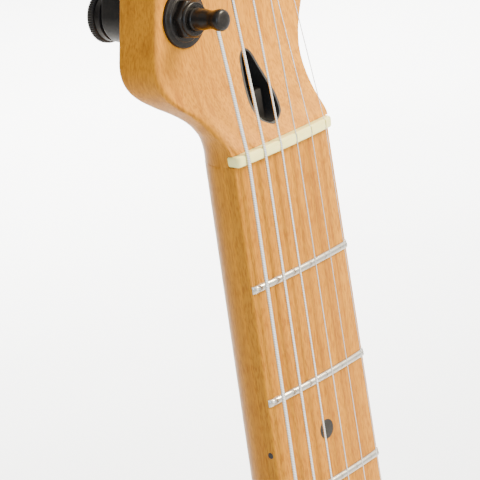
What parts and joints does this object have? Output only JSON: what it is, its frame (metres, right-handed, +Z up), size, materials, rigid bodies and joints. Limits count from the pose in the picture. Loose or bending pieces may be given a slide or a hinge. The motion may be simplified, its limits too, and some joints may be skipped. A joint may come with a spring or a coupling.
{
  "type": "electric guitar",
  "caption": "Solid-body six-string electric guitar with bolt-on maple neck, in-line locking tuners, pickups, controls and hardtail bridge.",
  "frame": {"origin": "on the centreline, on the fingerboard surface, at the nut line, where a hanger holds the neck", "axes": "+Z up the neck to the headstock tip, -Y out of the front towards the player's audience, +X to the treble side"},
  "size_m": [0.3236, 0.0686, 0.9998],
  "materials": {
    "maple": "satin amber lacquer",
    "board_maple": "satin amber lacquer",
    "body_lacquer": "gloss amber lacquer over open-grained ash",
    "black_metal": "satin black plating",
    "dark_steel": "plain",
    "fret_wire": "polished nickel silver",
    "string_steel": "nickel wound and plain steel",
    "bone": "polished bone",
    "black_plastic": "satin",
    "guard_plastic": "gloss laminate"
  },
  "bodies": {
    "root": {"neck": "maple", "fingerboard": "board_maple", "frets": "fret_wire", "nut": "bone", "string_tree": "black_metal", "body": "body_lacquer", "pickguard": "guard_plastic", "neck_plate": "black_metal", "bridge_plate": "black_metal", "neck_pickup": "black_plastic", "bridge_pickup": "black_plastic", "volume_pot": "dark_steel", "tone_pot": "dark_steel", "selector_switch": "dark_steel", "output_jack": "black_metal", "strap_button_horn": "black_metal", "strap_button_tail": "black_metal", "string_1": "string_steel", "tuner_housing_1": "black_metal", "tuner_bushing_1": "black_metal", "string_2": "string_steel", "tuner_housing_2": "black_metal", "tuner_bushing_2": "black_metal", "string_3": "string_steel", "tuner_housing_3": "black_metal", "tuner_bushing_3": "black_metal", "string_4": "string_steel", "tuner_housing_4": "black_metal", "tuner_bushing_4": "black_metal", "string_5": "string_steel", "tuner_housing_5": "black_metal", "tuner_bushing_5": "black_metal", "string_6": "string_steel", "tuner_housing_6": "black_metal", "tuner_bushing_6": "black_metal"},
    "tuner_button_6": {"tuner_button_6": "black_metal"},
    "tuner_post_6": {"tuner_post_6": "black_metal"},
    "tuner_lock_wheel_6": {"tuner_lock_wheel_6": "black_metal"},
    "tuner_button_5": {"tuner_button_5": "black_metal"},
    "tuner_post_5": {"tuner_post_5": "black_metal"},
    "tuner_lock_wheel_5": {"tuner_lock_wheel_5": "black_metal"},
    "tuner_button_4": {"tuner_button_4": "black_metal"},
    "tuner_post_4": {"tuner_post_4": "black_metal"},
    "tuner_lock_wheel_4": {"tuner_lock_wheel_4": "black_metal"},
    "tuner_button_3": {"tuner_button_3": "black_metal"},
    "tuner_post_3": {"tuner_post_3": "black_metal"},
    "tuner_lock_wheel_3": {"tuner_lock_wheel_3": "black_metal"},
    "tuner_button_2": {"tuner_button_2": "black_metal"},
    "tuner_post_2": {"tuner_post_2": "black_metal"},
    "tuner_lock_wheel_2": {"tuner_lock_wheel_2": "black_metal"},
    "tuner_button_1": {"tuner_button_1": "black_metal"},
    "tuner_post_1": {"tuner_post_1": "black_metal"},
    "tuner_lock_wheel_1": {"tuner_lock_wheel_1": "black_metal"},
    "volume_knob": {"volume_knob": "black_plastic"},
    "tone_knob": {"tone_knob": "black_plastic"},
    "selector_lever": {"selector_lever": "black_plastic"},
    "truss_rod": {"truss_rod": "dark_steel"},
    "bridge_saddle_1": {"bridge_saddle_1": "black_metal"},
    "bridge_saddle_2": {"bridge_saddle_2": "black_metal"},
    "bridge_saddle_3": {"bridge_saddle_3": "black_metal"}
  },
  "joints": [
    {"name": "tuner_button_6_turn", "type": "hinge", "parent": "root", "child": "tuner_button_6", "pos_m": [-0.01819, 0.0312, 0.0548], "axis": [-0.9681, 0, 0.2504], "continuous": true},
    {"name": "tuner_post_6_turn", "type": "hinge", "parent": "root", "child": "tuner_post_6", "pos_m": [-0.0213, 0.02, 0.0428], "axis": [0, -1, 0], "continuous": true},
    {"name": "tuner_lock_wheel_6_turn", "type": "hinge", "parent": "tuner_post_6", "child": "tuner_lock_wheel_6", "pos_m": [-0.0213, 0.0394, 0.0428], "axis": [0, -1, 0], "range_deg": [0, 360]},
    {"name": "tuner_button_5_turn", "type": "hinge", "parent": "root", "child": "tuner_button_5", "pos_m": [-0.01189, 0.0312, 0.0792], "axis": [-0.9681, 0, 0.2504], "continuous": true},
    {"name": "tuner_post_5_turn", "type": "hinge", "parent": "root", "child": "tuner_post_5", "pos_m": [-0.01499, 0.02, 0.0672], "axis": [0, -1, 0], "continuous": true},
    {"name": "tuner_lock_wheel_5_turn", "type": "hinge", "parent": "tuner_post_5", "child": "tuner_lock_wheel_5", "pos_m": [-0.01499, 0.0394, 0.0672], "axis": [0, -1, 0], "range_deg": [0, 360]},
    {"name": "tuner_button_4_turn", "type": "hinge", "parent": "root", "child": "tuner_button_4", "pos_m": [-0.00558, 0.0312, 0.1036], "axis": [-0.9681, 0, 0.2504], "continuous": true},
    {"name": "tuner_post_4_turn", "type": "hinge", "parent": "root", "child": "tuner_post_4", "pos_m": [-0.00868, 0.02, 0.09159], "axis": [0, -1, 0], "continuous": true},
    {"name": "tuner_lock_wheel_4_turn", "type": "hinge", "parent": "tuner_post_4", "child": "tuner_lock_wheel_4", "pos_m": [-0.00868, 0.0394, 0.09159], "axis": [0, -1, 0], "range_deg": [0, 360]},
    {"name": "tuner_button_3_turn", "type": "hinge", "parent": "root", "child": "tuner_button_3", "pos_m": [0.00073, 0.0312, 0.128], "axis": [-0.9681, 0, 0.2504], "continuous": true},
    {"name": "tuner_post_3_turn", "type": "hinge", "parent": "root", "child": "tuner_post_3", "pos_m": [-0.00237, 0.02, 0.11599], "axis": [0, -1, 0], "continuous": true},
    {"name": "tuner_lock_wheel_3_turn", "type": "hinge", "parent": "tuner_post_3", "child": "tuner_lock_wheel_3", "pos_m": [-0.00237, 0.0394, 0.11599], "axis": [0, -1, 0], "range_deg": [0, 360]},
    {"name": "tuner_button_2_turn", "type": "hinge", "parent": "root", "child": "tuner_button_2", "pos_m": [0.00704, 0.0312, 0.15239], "axis": [-0.9681, 0, 0.2504], "continuous": true},
    {"name": "tuner_post_2_turn", "type": "hinge", "parent": "root", "child": "tuner_post_2", "pos_m": [0.00394, 0.02, 0.14039], "axis": [0, -1, 0], "continuous": true},
    {"name": "tuner_lock_wheel_2_turn", "type": "hinge", "parent": "tuner_post_2", "child": "tuner_lock_wheel_2", "pos_m": [0.00394, 0.0394, 0.14039], "axis": [0, -1, 0], "range_deg": [0, 360]},
    {"name": "tuner_button_1_turn", "type": "hinge", "parent": "root", "child": "tuner_button_1", "pos_m": [0.01335, 0.0312, 0.17679], "axis": [-0.9681, 0, 0.2504], "continuous": true},
    {"name": "tuner_post_1_turn", "type": "hinge", "parent": "root", "child": "tuner_post_1", "pos_m": [0.01025, 0.02, 0.16479], "axis": [0, -1, 0], "continuous": true},
    {"name": "tuner_lock_wheel_1_turn", "type": "hinge", "parent": "tuner_post_1", "child": "tuner_lock_wheel_1", "pos_m": [0.01025, 0.0394, 0.16479], "axis": [0, -1, 0], "range_deg": [0, 360]},
    {"name": "volume_knob_turn", "type": "hinge", "parent": "root", "child": "volume_knob", "pos_m": [0.084, 0, -0.66], "axis": [0, -1, 0], "range_deg": [0, 300]},
    {"name": "tone_knob_turn", "type": "hinge", "parent": "root", "child": "tone_knob", "pos_m": [0.084, 0, -0.716], "axis": [0, -1, 0], "range_deg": [0, 300]},
    {"name": "selector_lever_rock", "type": "hinge", "parent": "root", "child": "selector_lever", "pos_m": [0.066, 0.0215, -0.622], "axis": [1, 0, 0], "range_deg": [-16, 16]},
    {"name": "truss_rod_turn", "type": "hinge", "parent": "root", "child": "truss_rod", "pos_m": [0, 0.0102, -0.2], "axis": [0, 0, 1], "range_deg": [-180, 180]},
    {"name": "bridge_saddle_1_slide", "type": "slide", "parent": "root", "child": "bridge_saddle_1", "axis": [0, 0, 1], "range_m": [0, 0.004]},
    {"name": "bridge_saddle_2_slide", "type": "slide", "parent": "root", "child": "bridge_saddle_2", "axis": [0, 0, 1], "range_m": [0, 0.004]},
    {"name": "bridge_saddle_3_slide", "type": "slide", "parent": "root", "child": "bridge_saddle_3", "axis": [0, 0, 1], "range_m": [0, 0.004]}
  ],
  "couplings": [
    {"joint": "tuner_post_6_turn", "follows": "tuner_button_6_turn", "ratio": 0.0625},
    {"joint": "tuner_post_5_turn", "follows": "tuner_button_5_turn", "ratio": 0.0625},
    {"joint": "tuner_post_4_turn", "follows": "tuner_button_4_turn", "ratio": 0.0625},
    {"joint": "tuner_post_3_turn", "follows": "tuner_button_3_turn", "ratio": 0.0625},
    {"joint": "tuner_post_2_turn", "follows": "tuner_button_2_turn", "ratio": 0.0625},
    {"joint": "tuner_post_1_turn", "follows": "tuner_button_1_turn", "ratio": 0.0625}
  ]
}
